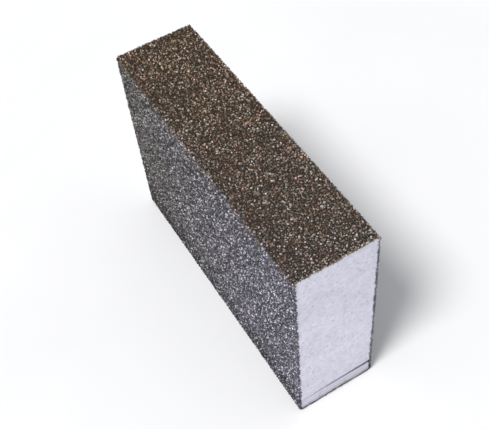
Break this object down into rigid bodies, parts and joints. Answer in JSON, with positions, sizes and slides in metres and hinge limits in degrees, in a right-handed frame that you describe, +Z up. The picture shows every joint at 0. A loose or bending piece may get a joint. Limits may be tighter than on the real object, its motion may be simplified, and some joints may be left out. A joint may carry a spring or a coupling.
{
  "type": "sanding block",
  "caption": "Rectangular foam sanding block with abrasive grit bonded to its four long faces and bare foam ends, standing on a narrow edge.",
  "frame": {"origin": "middle of the narrow edge face that the block stands on, at the level of the surface under it", "axes": "+X along the 98 mm length towards one bare foam end, +Y through the 26 mm thickness towards one wide face, +Z up along the 69 mm height"},
  "size_m": [0.098, 0.026, 0.069],
  "materials": {
    "foam": "matte",
    "resin_bond": "satin",
    "edge_grit": "satin",
    "face_grit": "satin"
  },
  "bodies": {
    "root": {"foam_core": "foam", "top_edge_bond": "resin_bond", "top_edge_grit": "edge_grit", "left_face_bond": "resin_bond", "left_face_grit": "face_grit", "bottom_edge_bond": "resin_bond", "bottom_edge_grit": "edge_grit", "right_face_bond": "resin_bond", "right_face_grit": "face_grit"}
  },
  "joints": []
}
